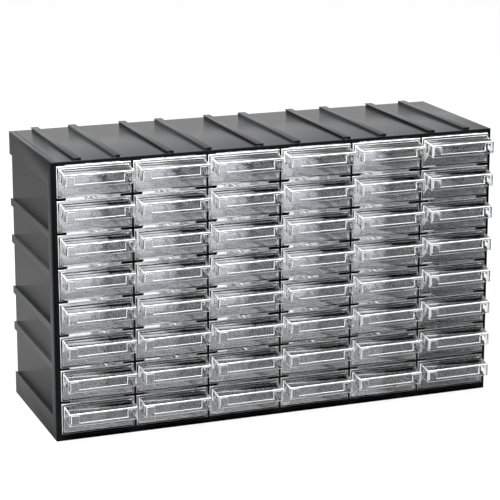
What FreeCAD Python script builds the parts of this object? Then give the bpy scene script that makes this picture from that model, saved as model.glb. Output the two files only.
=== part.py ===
import FreeCAD, Part
import math
import os
import Sketcher

doc = FreeCAD.newDocument("PartsBinCabinet")

# Sizes in millimetres. The names of counts say what they count.
size_table = (
    # Outline: the joining module sets width and height
    ("module", 76), ("modules_wide", 5), ("modules_high", 3), ("frame_depth", 131),
    # Casing walls
    ("wall_left", 4), ("wall_right", 3), ("wall_top", 2.7), ("wall_bottom", 4.2),
    # Dovetail grooves of the left side and the base, and the lands between them
    ("groove_half", 19.65), ("groove_depth", 2), ("undercut", 1), ("land_top", 6.8),
    ("collar_depth", 10.5), ("base_collar", 1.2),
    # Dovetail tongues of the top and the right side, which enter those grooves
    ("tongue_slack", 0.2), ("tongue_rise", 2), ("tongue_top", 6.6),
    ("top_setback", 1.5), ("side_setback", 11),
    # Fine line along the top beside its left edge
    ("line_wide", 0.6), ("line_depth", 0.4),
    # Grid of cells in the front of the casing
    ("columns", 6), ("rows", 8), ("grid_depth", 61.5), ("web_wall", 1.5), ("ledge_wall", 1.4),
    ("ledge_reach", 8), ("bead_depth", 3), ("bead_reach", 0.6), ("lip_wall", 1.2), ("lip_drop", 1.2),
    # Windows in the dividers, one to each cell, between a front post and a rear post
    ("front_post", 14), ("rear_post", 15), ("window_sill", 1), ("window_tall", 18),
    # Clearances of a drawer in its cell
    ("side_gap", 0.35), ("under_gap", 0.3), ("over_gap", 0.5), ("front_gap", 2), ("seat_gap", 0.3),
    # Drawer box, its front plate and the hood that stands out from the plate
    ("drawer_depth", 125), ("skin", 1.2), ("plate_wall", 1.4), ("nose_reach", 17), ("nose_inset", 2),
    ("rim_rise", 2.2), ("slope_drop", 1.7), ("face_tall", 10.4), ("face_wall", 1.6), ("grip_rise", 2.5),
    # Label recess in the face of the hood and the tabs that hold the card
    ("label_margin", 1.1), ("label_sill", 2.6), ("label_depth", 0.8), ("tab_wide", 6.4), ("tab_gap", 0.6),
    # Stops on the drawer walls, which meet the lip of the cell
    ("stop_rise", 2.1), ("stop_long", 6), ("stop_inset", 14.5),
)
sizes = doc.addObject("Spreadsheet::Sheet", "sizes")
for line, (name, value) in enumerate(size_table, start=1):
    sizes.set(f"A{line}", name)
    sizes.set(f"B{line}", str(value))
    sizes.setAlias(f"B{line}", name)
doc.recompute()

# Lengths that several pieces share, worked out from the sizes
body_wide = "(sizes.module * sizes.modules_wide)"
body_tall = "(sizes.module * sizes.modules_high)"
left_face = f"(-({body_wide} + sizes.tongue_rise) / 2)"
front_plane = "((sizes.nose_reach - sizes.frame_depth) / 2)"
inner_wide = f"({body_wide} - sizes.wall_left - sizes.wall_right)"
cell_wide = f"(({inner_wide} - (sizes.columns - 1) * sizes.web_wall) / sizes.columns)"
column_pitch = f"({cell_wide} + sizes.web_wall)"
row_pitch = f"(({body_tall} - sizes.wall_top - sizes.wall_bottom) / sizes.rows)"


def origin_feature(body, role):
    return next(item for item in body.Origin.OriginFeatures if item.Role == role)


def outline(body, name, role, corners, lift="0"):
    """Closed outline of straight edges with every corner tied to the sizes."""
    sketch = body.newObject("Sketcher::SketchObject", name)
    sketch.AttachmentSupport = [(origin_feature(body, role), "")]
    sketch.MapMode = "FlatFace"
    sketch.setExpression("AttachmentOffset.Base.z", lift)
    turns = [2 * math.pi * index / len(corners) for index in range(len(corners))]
    ring = [FreeCAD.Vector(math.cos(turn), math.sin(turn), 0) for turn in turns]
    for index, start in enumerate(ring):
        sketch.addGeometry(Part.LineSegment(start, ring[(index + 1) % len(ring)]))
    for index in range(len(ring)):
        follower = (index + 1) % len(ring)
        sketch.addConstraint(Sketcher.Constraint("Coincident", index, 2, follower, 1))
    for index, (across, up) in enumerate(corners):
        start = ring[index]
        for kind, rough, wanted in (("DistanceX", start.x, across), ("DistanceY", start.y, up)):
            number = sketch.addConstraint(Sketcher.Constraint(kind, -1, 1, index, 1, rough))
            sketch.setExpression(f"Constraints[{number}]", wanted)
    return sketch


def rectangle(body, name, role, left, low, right, high, lift="0"):
    corners = ((left, low), (right, low), (right, high), (left, high))
    return outline(body, name, role, corners, lift)


def pad(body, name, sketch, length, backwards=False, both_ways=False):
    feature = body.newObject("PartDesign::Pad", name)
    feature.Profile = sketch
    feature.Reversed = backwards
    feature.Midplane = both_ways
    feature.setExpression("Length", length)
    body.Tip = feature
    return feature


def pocket(body, name, sketch, backwards=False):
    feature = body.newObject("PartDesign::Pocket", name)
    feature.Profile = sketch
    feature.Type = "ThroughAll"
    feature.Reversed = backwards
    body.Tip = feature
    return feature


def repeat(body, name, feature, axis, spacing, count):
    pattern = body.newObject("PartDesign::LinearPattern", name)
    pattern.Originals = [feature]
    pattern.Direction = (origin_feature(body, axis), [""])
    pattern.Mode = "Spacing"
    pattern.setExpression("Offset", spacing)
    pattern.setExpression("Occurrences", count)
    body.Tip = pattern
    return pattern


def mirror(body, name, feature, role):
    twin = body.newObject("PartDesign::Mirrored", name)
    twin.Originals = [feature]
    twin.MirrorPlane = (origin_feature(body, role), [""])
    body.Tip = twin
    return twin


def seat(piece, across, along, up):
    piece.setExpression("Placement.Base.x", across)
    piece.setExpression("Placement.Base.y", along)
    piece.setExpression("Placement.Base.z", up)


def new_body(name):
    body = doc.addObject("PartDesign::Body", name)
    body.Label = name
    return body


def turned(corners):
    return tuple((up, across) for across, up in corners)


def tongues(body, axis, count, base, turn, setback):
    """Pairs of tongues with undercut outer flanks, one pair in the middle of each module."""
    outer = "(sizes.groove_half - sizes.tongue_slack)"
    crest = f"({base} + sizes.tongue_rise)"
    for side, sign in (("near", "-"), ("far", "+")):
        middle = f"sizes.module / 2 {sign} {outer}"
        inward = "+" if sign == "-" else "-"
        corners = (
            (f"{middle} {inward} sizes.undercut", base),
            (f"{middle}", crest),
            (f"{middle} {inward} sizes.tongue_top", crest),
            (f"{middle} {inward} sizes.tongue_top", base),
        )
        corners = turned(corners) if turn else corners
        sketch = outline(body, f"{side}_tongue_outline", "XZ_Plane", corners, f"-({setback})")
        tongue = pad(body, f"{side}_tongue", sketch, f"sizes.frame_depth - {setback}", True)
        repeat(body, f"{side}_tongues", tongue, axis, "sizes.module", count)


def grooves(body, axis, count, turn, setback):
    """Undercut grooves for the tongues, with a plain relief between their lands."""
    middle = "sizes.module / 2"
    waist = "(sizes.groove_half - sizes.undercut)"
    groove = (
        (f"{middle} - {waist}", "0"),
        (f"{middle} + {waist}", "0"),
        (f"{middle} + sizes.groove_half", "sizes.groove_depth"),
        (f"{middle} - sizes.groove_half", "sizes.groove_depth"),
    )
    start = f"({middle} + {waist} + sizes.land_top)"
    relief = (
        (start, "0"),
        (f"2 * sizes.module - {start}", "0"),
        (f"2 * sizes.module - {start}", "sizes.groove_depth"),
        (start, "sizes.groove_depth"),
    )
    for name, corners, copies in (("groove", groove, count), ("relief", relief, f"{count} - 1")):
        corners = turned(corners) if turn else corners
        sketch = outline(body, f"{name}_outline", "XZ_Plane", corners, f"-({setback})")
        cut = pocket(body, name, sketch)
        repeat(body, f"{name}s", cut, axis, "sizes.module", copies)


def bead(body, left, right):
    """Upright bead on the front edge of a wall, which the drawer fronts come home against."""
    sketch = rectangle(body, "bead_outline", "XZ_Plane", left, "sizes.wall_bottom",
                       right, f"{body_tall} - sizes.wall_top")
    pad(body, "bead", sketch, "sizes.bead_depth", True)


def ledges(body, left, right):
    """Runner ledges for the drawers, one level to each row from the base up."""
    sketch = rectangle(body, "ledge_outline", "XZ_Plane", left, "sizes.wall_bottom",
                       right, "sizes.wall_bottom + sizes.ledge_wall")
    ledge = pad(body, "ledge", sketch, "sizes.grid_depth", True)
    repeat(body, "ledges", ledge, "Z_Axis", row_pitch, "sizes.rows")


def lip(body, name, left, right, level):
    """Lip under the front of a ledge, close behind the bead, that stops the drawer below it."""
    sketch = rectangle(body, f"{name}_outline", "XZ_Plane", left, f"{level} - sizes.lip_drop",
                       right, level, "-(sizes.bead_depth - sizes.lip_wall)")
    return pad(body, name, sketch, "sizes.lip_wall", True)


def ledge_lips(body, left, right):
    """A lip under every ledge but the lowest."""
    first = lip(body, "lip", left, right, f"(sizes.wall_bottom + {row_pitch})")
    repeat(body, "lips", first, "Z_Axis", row_pitch, "sizes.rows - 1")


# Left side: a thick wall with the grooves that run out at the back behind a flush collar
left_side = new_body("casing_left")
sketch = rectangle(left_side, "wall_outline", "XZ_Plane", "0", "0", "sizes.wall_left", body_tall)
pad(left_side, "wall", sketch, "sizes.frame_depth", True)
grooves(left_side, "Z_Axis", "sizes.modules_high", True, "sizes.collar_depth")
bead(left_side, "sizes.wall_left", "sizes.wall_left + sizes.bead_reach")
ledges(left_side, "sizes.wall_left", "sizes.wall_left + sizes.ledge_reach")
ledge_lips(left_side, "sizes.wall_left", "sizes.wall_left + sizes.ledge_reach")
seat(left_side, left_face, front_plane, "0")

# Right side: a thin wall with the tongues outside
right_side = new_body("casing_right")
sketch = rectangle(right_side, "wall_outline", "XZ_Plane", "-sizes.wall_right", "0", "0", body_tall)
pad(right_side, "wall", sketch, "sizes.frame_depth", True)
tongues(right_side, "Z_Axis", "sizes.modules_high", "0", True, "sizes.side_setback")
bead(right_side, "-sizes.wall_right - sizes.bead_reach", "-sizes.wall_right")
ledges(right_side, "-sizes.wall_right - sizes.ledge_reach", "-sizes.wall_right")
ledge_lips(right_side, "-sizes.wall_right - sizes.ledge_reach", "-sizes.wall_right")
seat(right_side, f"{left_face} + {body_wide}", front_plane, "0")

# Top: a plate between the sides with the tongues on it and the lips of the top row under it
top = new_body("casing_top")
inner_right = f"{body_wide} - sizes.wall_right"
sketch = rectangle(top, "wall_outline", "XZ_Plane", "sizes.wall_left", "-sizes.wall_top",
                   inner_right, "0")
pad(top, "wall", sketch, "sizes.frame_depth", True)
sketch = rectangle(top, "line_outline", "XZ_Plane", "sizes.wall_left", "-sizes.line_depth",
                   "sizes.wall_left + sizes.line_wide", "0", "-sizes.top_setback")
pocket(top, "line", sketch)
tongues(top, "X_Axis", "sizes.modules_wide", "0", False, "sizes.top_setback")
cell_left = "sizes.wall_left"
cell_right = f"sizes.wall_left + {cell_wide}"
for side, left, right in (
    ("left", f"{cell_left} + sizes.bead_reach", f"{cell_left} + sizes.ledge_reach"),
    ("right", f"{cell_right} - sizes.ledge_reach", f"{cell_right} - sizes.bead_reach"),
):
    first = lip(top, f"{side}_lip", left, right, "-sizes.wall_top")
    repeat(top, f"{side}_lips", first, "X_Axis", column_pitch, "sizes.columns")
seat(top, left_face, front_plane, body_tall)

# Base: a plate between the sides with the grooves under it, which a thin collar closes at the front
base = new_body("casing_bottom")
sketch = rectangle(base, "wall_outline", "XZ_Plane", "sizes.wall_left", "0", inner_right,
                   "sizes.wall_bottom")
pad(base, "wall", sketch, "sizes.frame_depth", True)
grooves(base, "X_Axis", "sizes.modules_wide", False, "sizes.base_collar")
seat(base, left_face, front_plane, "0")

# Dividers: an upright web with a window to each cell, and with ledges and lips on both sides.
# They end inside the casing, which is open at the back.
divider = new_body("divider_1")
half_web = "sizes.web_wall / 2"
reach = f"({half_web} + sizes.ledge_reach)"
sketch = rectangle(divider, "web_outline", "XZ_Plane", f"-{half_web}", "sizes.wall_bottom", half_web,
                   f"{body_tall} - sizes.wall_top")
pad(divider, "web", sketch, "sizes.grid_depth", True)
window_low = "(sizes.wall_bottom + sizes.ledge_wall + sizes.window_sill)"
sketch = rectangle(divider, "window_outline", "YZ_Plane", "sizes.front_post", window_low,
                   "sizes.grid_depth - sizes.rear_post", f"{window_low} + sizes.window_tall")
window = pocket(divider, "window", sketch)
window.Midplane = True
repeat(divider, "windows", window, "Z_Axis", row_pitch, "sizes.rows")
bead(divider, f"-{half_web} - sizes.bead_reach", f"{half_web} + sizes.bead_reach")
ledges(divider, f"-{reach}", reach)
ledge_lips(divider, f"-{reach}", reach)
dividers = [divider]
doc.recompute()
while len(dividers) < sizes.columns - 1:
    copy = doc.addObject("App::Link", f"divider_{len(dividers) + 1}")
    copy.Label = copy.Name
    copy.LinkedObject = divider
    dividers.append(copy)
for index, piece in enumerate(dividers):
    across = f"{left_face} + sizes.wall_left - {half_web} + {index + 1} * {column_pitch}"
    seat(piece, across, front_plane, "0")

# Drawer: a clear box behind a front plate, with a hood on the plate that is open below as the grip.
# It is drawn about the middle of its width, from the front plane of the casing.
drawer = new_body("drawer_r1_c1")
half_front = f"(({column_pitch} - sizes.front_gap) / 2)"
half_box = f"({cell_wide} / 2 - sizes.bead_reach - sizes.side_gap)"
half_hood = f"({half_front} - sizes.nose_inset)"
plate_front = "(-sizes.seat_gap - sizes.plate_wall)"
rim = f"({row_pitch} - sizes.ledge_wall - sizes.under_gap - sizes.over_gap)"
side_top = f"({rim} - sizes.stop_rise)"
hood_top = f"({rim} - sizes.rim_rise)"
face_top = f"({hood_top} - sizes.slope_drop)"
face_low = f"({face_top} - sizes.face_tall)"
sketch = rectangle(drawer, "box_outline", "YZ_Plane", plate_front, "0", "sizes.drawer_depth", side_top)
solid = pad(drawer, "box", sketch, f"2 * {half_box}", both_ways=True)
doc.recompute()
nearly_straight = math.cos(math.radians(1))
open_faces = [f"Face{number}" for number, face in enumerate(solid.Shape.Faces, start=1)
              if face.normalAt(0, 0).z > nearly_straight]
hollow = drawer.newObject("PartDesign::Thickness", "hollow")
hollow.Base = (solid, open_faces)
hollow.Mode = "Skin"
hollow.Join = "Intersection"
hollow.Reversed = True
hollow.setExpression("Value", "sizes.skin")
drawer.Tip = hollow

# The front plate is wider and taller than the box, so it comes home against the beads of the casing
sketch = rectangle(drawer, "plate_outline", "YZ_Plane", plate_front, "0", "-sizes.seat_gap", rim)
pad(drawer, "plate", sketch, f"2 * {half_front}", both_ways=True)

# Hood: a top that falls a little to the upright face, closed by a cheek at each end
sketch = outline(drawer, "hood_outline", "YZ_Plane", (
    (plate_front, hood_top),
    ("-sizes.nose_reach", face_top),
    ("-sizes.nose_reach", face_low),
    ("-sizes.nose_reach + sizes.face_wall", face_low),
    ("-sizes.nose_reach + sizes.face_wall", f"{face_top} - sizes.skin"),
    (plate_front, f"{hood_top} - sizes.skin"),
))
pad(drawer, "hood", sketch, f"2 * {half_hood}", both_ways=True)
sketch = outline(drawer, "cheek_outline", "YZ_Plane", (
    (plate_front, hood_top),
    ("-sizes.nose_reach", face_top),
    ("-sizes.nose_reach", face_low),
    (plate_front, f"{face_low} + sizes.grip_rise"),
), f"{half_hood} - sizes.skin")
cheek = pad(drawer, "cheek", sketch, "sizes.skin")
mirror(drawer, "cheeks", cheek, "YZ_Plane")

# Label recess across the face, with a tab at each end that stands level with the face
recess_half = f"({half_hood} - sizes.label_margin)"
recess_low = f"({face_low} + sizes.label_sill)"
recess_top = f"({face_top} - sizes.label_margin)"
sketch = rectangle(drawer, "recess_outline", "XZ_Plane", f"-{recess_half}", recess_low,
                   recess_half, recess_top, "sizes.nose_reach")
recess = pocket(drawer, "label_recess", sketch)
recess.Type = "Length"
recess.setExpression("Length", "sizes.label_depth")
tab_end = f"({recess_half} - sizes.tab_gap)"
sketch = rectangle(drawer, "tab_outline", "XZ_Plane", f"{tab_end} - sizes.tab_wide", recess_low,
                   tab_end, f"{recess_top} - sizes.tab_gap", "sizes.nose_reach - sizes.label_depth")
tab = pad(drawer, "tab", sketch, "sizes.label_depth")
mirror(drawer, "tabs", tab, "YZ_Plane")

# Stops on the side walls, which meet the lip of the cell when the drawer is drawn
stop_back = "(sizes.drawer_depth - sizes.stop_inset)"
sketch = rectangle(drawer, "stop_outline", "YZ_Plane", f"{stop_back} - sizes.stop_long", side_top,
                   stop_back, rim, f"{half_box} - sizes.skin")
stop = pad(drawer, "stop", sketch, "sizes.skin")
mirror(drawer, "stops", stop, "YZ_Plane")
doc.recompute()

# The same drawer in every cell, with row 1 at the top and column 1 on the left
drawers = []
for row in range(int(sizes.rows)):
    for column in range(int(sizes.columns)):
        name = f"drawer_r{row + 1}_c{column + 1}"
        piece = drawer
        if drawers:
            piece = doc.addObject("App::Link", name)
            piece.Label = name
            piece.LinkedObject = drawer
        across = f"{left_face} + sizes.wall_left + {cell_wide} / 2 + {column} * {column_pitch}"
        up = (f"sizes.wall_bottom + sizes.ledge_wall + sizes.under_gap"
              f" + (sizes.rows - {row + 1}) * {row_pitch}")
        seat(piece, across, front_plane, up)
        drawers.append(piece)
doc.recompute()

for item in doc.Objects:
    if "Invalid" in item.State or "Error" in item.State:
        raise RuntimeError(f"{item.Label} did not compute")
pieces = [left_side, right_side, top, base] + dividers + drawers
shapes = [Part.getShape(piece) for piece in pieces]
for piece, shape in zip(pieces, shapes):
    if shape.isNull() or not shape.isValid() or len(shape.Solids) != 1:
        raise RuntimeError(f"{piece.Label} has no sound shape")

os.makedirs("parts", exist_ok=True)
for piece, shape in zip(pieces, shapes):
    shape.exportStep(f"parts/{piece.Label}.step")
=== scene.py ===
import math
import bpy
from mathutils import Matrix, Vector


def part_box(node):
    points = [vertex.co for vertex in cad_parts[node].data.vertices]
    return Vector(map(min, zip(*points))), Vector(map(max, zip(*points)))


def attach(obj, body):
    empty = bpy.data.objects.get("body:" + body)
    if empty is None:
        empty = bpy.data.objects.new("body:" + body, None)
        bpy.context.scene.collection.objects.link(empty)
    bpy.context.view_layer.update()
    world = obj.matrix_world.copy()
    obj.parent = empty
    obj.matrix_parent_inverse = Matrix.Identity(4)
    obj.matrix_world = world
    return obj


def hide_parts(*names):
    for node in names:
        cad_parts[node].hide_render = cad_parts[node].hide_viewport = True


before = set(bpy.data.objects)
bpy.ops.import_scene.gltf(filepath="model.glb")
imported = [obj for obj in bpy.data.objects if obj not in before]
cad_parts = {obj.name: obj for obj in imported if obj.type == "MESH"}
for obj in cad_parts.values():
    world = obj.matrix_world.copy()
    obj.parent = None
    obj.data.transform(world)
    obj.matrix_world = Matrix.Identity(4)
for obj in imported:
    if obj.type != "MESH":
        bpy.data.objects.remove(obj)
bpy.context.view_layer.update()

# Casing
# The black shell with its joining tongues and grooves, and the grid of cells in its front. On the
# real cabinet it is a single injection moulding in black plastic, so the walls and dividers are
# merged here, and every edge gets the small radius that a mould leaves.
casing_walls = ["casing_left", "casing_right", "casing_top", "casing_bottom"]
casing_dividers = [f"divider_{number}" for number in range(1, 6)]
casing_left_plane, casing_right_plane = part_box("casing_left")[0].x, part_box("casing_top")[1].x
casing_front_plane, casing_top_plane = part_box("casing_left")[0].y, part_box("casing_left")[1].z
fine_line_wide = 0.0006
fine_line_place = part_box("casing_top")[0].x + fine_line_wide / 2
fine_line_reach = 0.0005
casing_edge_radius = 0.0009
upright_share, outside_share, grid_share = 1, 0.5, 0.22
merge_distance = 0.00001
flat_angle, sharp_angle, smooth_angle = math.radians(1), math.radians(25), math.radians(35)
edge_segments = 3
casing_black = (0.006, 0.0063, 0.0075, 1)
casing_reflection = (0.94, 0.965, 1, 1)
casing_index = 1.28
casing_patches, casing_patch_detail = 9, 4
casing_gloss_range = (0.2, 0.28)
casing_grain, casing_grain_detail = 0.00035, 3
casing_grain_strength, casing_grain_depth = 0.25, 0.00004


def tidy_faces():
    """Merges the corners of the active piece and makes each flat face whole."""
    bpy.ops.object.mode_set(mode="EDIT")
    bpy.ops.mesh.select_all(action="SELECT")
    bpy.ops.mesh.remove_doubles(threshold=merge_distance)
    bpy.ops.mesh.dissolve_limited(angle_limit=flat_angle)
    bpy.ops.object.mode_set(mode="OBJECT")


def pick(piece):
    """Makes a piece the only one selected, and the active one."""
    bpy.ops.object.select_all(action="DESELECT")
    piece.select_set(True)
    bpy.context.view_layer.objects.active = piece


def loose_copy(node, name):
    """A piece of its own with the form of a node."""
    piece = bpy.data.objects.new(name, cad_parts[node].data.copy())
    bpy.context.scene.collection.objects.link(piece)
    pick(piece)
    piece.data.materials.clear()
    tidy_faces()
    return piece


def ease_edges(piece, radius, share_of):
    """A radius on every real edge, as large as its share says, in the piece's last material."""
    mesh = piece.data
    neighbours = {}
    for face in mesh.polygons:
        for key in face.edge_keys:
            neighbours.setdefault(key, []).append(face)
    weights = mesh.attributes.new("bevel_weight_edge", "FLOAT", "EDGE")
    for edge in mesh.edges:
        faces = neighbours.get(edge.key, [])
        if len(faces) != 2 or faces[0].normal.dot(faces[1].normal) > math.cos(sharp_angle):
            continue
        ends = [mesh.vertices[index].co for index in edge.vertices]
        beyond = next(mesh.vertices[index].co for index in faces[1].vertices
                      if index not in edge.vertices)
        outward = (beyond - ends[0]).dot(faces[0].normal) < 0
        weights.data[edge.index].value = share_of(ends[0], ends[1], outward)
    pick(piece)
    easing = piece.modifiers.new("eased edges", "BEVEL")
    easing.width = radius
    easing.segments = edge_segments
    easing.limit_method = "WEIGHT"
    easing.use_clamp_overlap = False
    # the rounds take the piece's last material; on the drawers that is the white painted
    # highlight plastic
    easing.material = len(mesh.materials) - 1
    bpy.ops.object.modifier_apply(modifier=easing.name)
    bpy.ops.object.shade_smooth_by_angle(angle=smooth_angle)


def casing_share(start, end, outward):
    """Most at the front left upright, less round the outside, least in the grid."""
    left = max(start.x, end.x) < casing_left_plane + merge_distance
    right = min(start.x, end.x) > casing_right_plane - merge_distance
    above = min(start.z, end.z) > casing_top_plane - merge_distance
    below = max(start.z, end.z) < merge_distance
    front = max(start.y, end.y) < casing_front_plane + merge_distance
    in_fine_line = above and abs(start.x - fine_line_place) < fine_line_reach
    if left and front:
        return upright_share
    if outward and (left or right or above or below) and not in_fine_line:
        return outside_share
    return grid_share


def moulded_plastic(name, colour, index, patches, gloss_range, relief, strength, depth):
    """Plastic whose gloss differs in patches and whose skin has a fine relief."""
    material = bpy.data.materials.new(name)
    material.use_nodes = True
    nodes, links = material.node_tree.nodes, material.node_tree.links
    shader = nodes["Principled BSDF"]
    shader.inputs["Base Color"].default_value = colour
    shader.inputs["IOR"].default_value = index
    place = nodes.new("ShaderNodeTexCoord")
    patterns = []
    for scale, detail in (patches, relief):
        pattern = nodes.new("ShaderNodeTexNoise")
        pattern.inputs["Scale"].default_value = scale
        pattern.inputs["Detail"].default_value = detail
        links.new(place.outputs["Object"], pattern.inputs["Vector"])
        patterns.append(pattern)
    gloss = nodes.new("ShaderNodeMapRange")
    gloss.inputs["To Min"].default_value, gloss.inputs["To Max"].default_value = gloss_range
    links.new(patterns[0].outputs["Fac"], gloss.inputs["Value"])
    links.new(gloss.outputs["Result"], shader.inputs["Roughness"])
    skin = nodes.new("ShaderNodeBump")
    skin.inputs["Strength"].default_value = strength
    skin.inputs["Distance"].default_value = depth
    links.new(patterns[1].outputs["Fac"], skin.inputs["Height"])
    links.new(skin.outputs["Normal"], shader.inputs["Normal"])
    return material


casing = loose_copy(casing_walls[0], "casing")
for node in casing_walls[1:] + casing_dividers:
    wall = loose_copy(node, f"{node}_form")
    bpy.context.view_layer.objects.active = casing
    join = casing.modifiers.new("join", "BOOLEAN")
    join.operation = "UNION"
    join.solver = "EXACT"
    join.object = wall
    bpy.ops.object.modifier_apply(modifier=join.name)
    bpy.data.objects.remove(wall)
pick(casing)
tidy_faces()
ease_edges(casing, casing_edge_radius, casing_share)

casing_plastic = moulded_plastic(
    "black moulded plastic", casing_black, casing_index,
    (casing_patches, casing_patch_detail), casing_gloss_range,
    (1 / casing_grain, casing_grain_detail), casing_grain_strength, casing_grain_depth)
casing_shader = casing_plastic.node_tree.nodes["Principled BSDF"]
casing_shader.inputs["Specular Tint"].default_value = casing_reflection
casing.data.materials.append(casing_plastic)
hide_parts(*casing_walls, *casing_dividers)
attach(casing, "cabinet")

# Drawers
# Clear crystal plastic boxes, all from one mould: a thin open box behind a front plate, with a
# hood for the label. Their rounded edges are painted in a whiter, less clear plastic, a painted
# highlight that stands in for light leaving the plastic at its edges. The first is made and
# copied into every other cell.
drawer_rows, drawer_columns = 8, 6
pattern_corner, pattern_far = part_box("drawer_r1_c1")
drawer_edge_radius = 0.00045
face_reach, label_side = 0.001, 0.0025
label_low, label_high = 0.0125, 0.021
label_share, rim_share, inner_share = 0.3, 1, 0.4
# painted highlight: edges keep it within this reach of the front, or above this height
painted_highlight_reach, painted_highlight_low = 0.02, 0.019
clear_tint = (0.83, 0.839, 0.85, 1)
clear_index = 1.5
haze_patches, haze_detail = 60, 4
haze_range = (0.0, 0.02)
flow_marks, flow_detail = 120, 2
flow_strength, flow_depth = 0.05, 0.0002
# painted highlight: the drawers' rounded edges are painted whiter and less clear than the plastic
painted_highlight_white = (1, 1, 1, 1)
painted_highlight_clearness = 0.15

clear_plastic = moulded_plastic(
    "clear crystal plastic", clear_tint, clear_index,
    (haze_patches, haze_detail), haze_range,
    (flow_marks, flow_detail), flow_strength, flow_depth)
clear_shader = clear_plastic.node_tree.nodes["Principled BSDF"]
clear_shader.inputs["Transmission Weight"].default_value = 1
# a copy painted white for the rounded edges, a painted highlight
painted_highlight_plastic = clear_plastic.copy()
painted_highlight_plastic.name = "clear plastic painted highlight edge"
painted_highlight_shader = painted_highlight_plastic.node_tree.nodes["Principled BSDF"]
painted_highlight_shader.inputs["Base Color"].default_value = painted_highlight_white
painted_highlight_shader.inputs["Transmission Weight"].default_value = painted_highlight_clearness


def drawer_share(start, end, outward):
    """Nearly round at the rims, fine round the label recess and its tabs."""
    in_face = max(start.y, end.y) < pattern_corner.y + face_reach
    rise = (start.z + end.z) / 2 - pattern_corner.z
    side = min(start.x - pattern_corner.x, pattern_far.x - start.x)
    if in_face and label_low < rise < label_high and side > label_side:
        return label_share
    return rim_share if outward else inner_share


drawer_pattern = loose_copy("drawer_r1_c1", "drawer_pattern")
drawer_pattern.data.materials.append(clear_plastic)
drawer_pattern.data.materials.append(painted_highlight_plastic)
ease_edges(drawer_pattern, drawer_edge_radius, drawer_share)
# the painted highlight stays only near the front and at the top; deeper, lower faces go back to
# clear plastic
for face in drawer_pattern.data.polygons:
    inward = face.center - pattern_corner
    if inward.y > painted_highlight_reach and inward.z < painted_highlight_low:
        face.material_index = 0
for row in range(1, drawer_rows + 1):
    for column in range(1, drawer_columns + 1):
        node = f"drawer_r{row}_c{column}"
        drawer = bpy.data.objects.new(f"clear_{node}", drawer_pattern.data.copy())
        bpy.context.scene.collection.objects.link(drawer)
        pick(drawer)
        drawer.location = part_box(node)[0] - pattern_corner
        bpy.ops.object.transform_apply(location=True, rotation=False, scale=False)
        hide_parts(node)
        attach(drawer, node)
bpy.data.objects.remove(drawer_pattern)

# Floor
# A plain white sheet that runs far behind the cabinet, so that it is the whole background. The
# camera sees it white, straight or through the clear plastic, with the cabinet's soft shadow.
# In reflections it is dark in front of the cabinet and pale behind it.
floor_size = 24
dark_from, pale_from = -0.3, 0.1
dark_share, pale_share = 0.02, 0.2
floor_roughness = 0.9
white = (1, 1, 1, 1)
white_seen, white_through = 0.92, 0.48
shadow_share = (0.1, 0.1, 0.1, 1)

bpy.ops.object.select_all(action="DESELECT")
bpy.ops.mesh.primitive_plane_add(size=floor_size, location=(0, 0, 0))
floor = bpy.context.object
floor.name = "floor"
paper = bpy.data.materials.new("white paper")
paper.use_nodes = True
nodes, links = paper.node_tree.nodes, paper.node_tree.links
matt = nodes["Principled BSDF"]
matt.inputs["Roughness"].default_value = floor_roughness
spot = nodes.new("ShaderNodeTexCoord")
reach = nodes.new("ShaderNodeSeparateXYZ")
links.new(spot.outputs["Object"], reach.inputs["Vector"])
near = nodes.new("ShaderNodeMapRange")
near.inputs["From Min"].default_value = dark_from
near.inputs["From Max"].default_value = pale_from
near.inputs["To Min"].default_value = dark_share
near.inputs["To Max"].default_value = pale_share
links.new(reach.outputs["Y"], near.inputs["Value"])
links.new(near.outputs["Result"], matt.inputs["Base Color"])
rays = nodes.new("ShaderNodeLightPath")
seen = nodes.new("ShaderNodeMath")
seen.operation = "MAXIMUM"
links.new(rays.outputs["Is Camera Ray"], seen.inputs[0])
links.new(rays.outputs["Is Transmission Ray"], seen.inputs[1])
through = nodes.new("ShaderNodeMath")
through.operation = "MULTIPLY_ADD"
through.inputs[1].default_value = white_through
through.inputs[2].default_value = white_seen
links.new(rays.outputs["Is Transmission Ray"], through.inputs[0])
glow = nodes.new("ShaderNodeEmission")
glow.inputs["Color"].default_value = white
links.new(through.outputs["Value"], glow.inputs["Strength"])
shaded = nodes.new("ShaderNodeBsdfDiffuse")
shaded.inputs["Color"].default_value = shadow_share
lit = nodes.new("ShaderNodeAddShader")
links.new(glow.outputs["Emission"], lit.inputs[0])
links.new(shaded.outputs["BSDF"], lit.inputs[1])
blend = nodes.new("ShaderNodeMixShader")
links.new(seen.outputs["Value"], blend.inputs["Fac"])
links.new(matt.outputs["BSDF"], blend.inputs[1])
links.new(lit.outputs["Shader"], blend.inputs[2])
links.new(blend.outputs["Shader"], nodes["Material Output"].inputs["Surface"])
floor.data.materials.append(paper)

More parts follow.
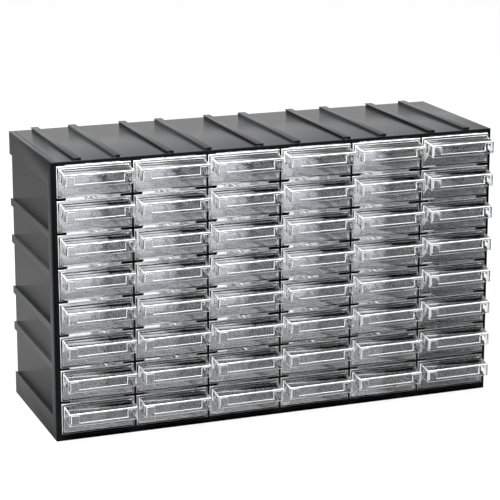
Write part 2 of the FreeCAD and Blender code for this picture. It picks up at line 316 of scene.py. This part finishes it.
# Studio light
# A surround that is dark in front and bright behind the cabinet, so that the black plastic shows
# its form and the clear plastic is lit from behind, and one broad soft lamp above the front.
surround_dark_to, surround_bright_from = -0.1, 0.7
surround_dark, surround_bright = 0.03, 0.9
lamp_place, lamp_aim = Vector((-0.3, -0.5, 1.8)), Vector((0, 0, 0.1))
lamp_size, lamp_power = 1.2, 120

world = bpy.data.worlds.new("studio")
bpy.context.scene.world = world
world.use_nodes = True
nodes, links = world.node_tree.nodes, world.node_tree.links
direction = nodes.new("ShaderNodeTexCoord")
parts = nodes.new("ShaderNodeSeparateXYZ")
links.new(direction.outputs["Generated"], parts.inputs["Vector"])
front_to_back = nodes.new("ShaderNodeMapRange")
front_to_back.inputs["From Min"].default_value = surround_dark_to
front_to_back.inputs["From Max"].default_value = surround_bright_from
front_to_back.inputs["To Min"].default_value = surround_dark
front_to_back.inputs["To Max"].default_value = surround_bright
links.new(parts.outputs["Y"], front_to_back.inputs["Value"])
links.new(front_to_back.outputs["Result"], nodes["Background"].inputs["Color"])

bpy.ops.object.light_add(type="AREA", location=lamp_place)
lamp = bpy.context.object
lamp.data.size = lamp_size
lamp.data.energy = lamp_power
lamp.rotation_mode = "QUATERNION"
lamp.rotation_quaternion = (lamp_aim - lamp_place).to_track_quat("-Z", "Y")

# Camera
# A long lens from the front left and above, at the angle of the photograph. Enough bounces are
# allowed for light to pass the walls of several drawers.
camera_place = (-0.586864, -1.541953, 0.564613)
camera_heading, camera_descent = 0.361, 0.235
camera_sensor, camera_lens = 36, 146.03
camera_shift = -0.1
camera_far = 50
light_bounces = 24

bpy.ops.object.camera_add(location=camera_place)
camera = bpy.context.object
camera.rotation_euler = (math.pi / 2 - camera_descent, 0, -camera_heading)
camera.data.sensor_width = camera_sensor
camera.data.lens = camera_lens
camera.data.shift_y = camera_shift
camera.data.clip_end = camera_far
bpy.context.scene.camera = camera
bpy.context.scene.view_settings.view_transform = "Standard"
bpy.context.scene.cycles.max_bounces = light_bounces
bpy.context.scene.cycles.transmission_bounces = light_bounces
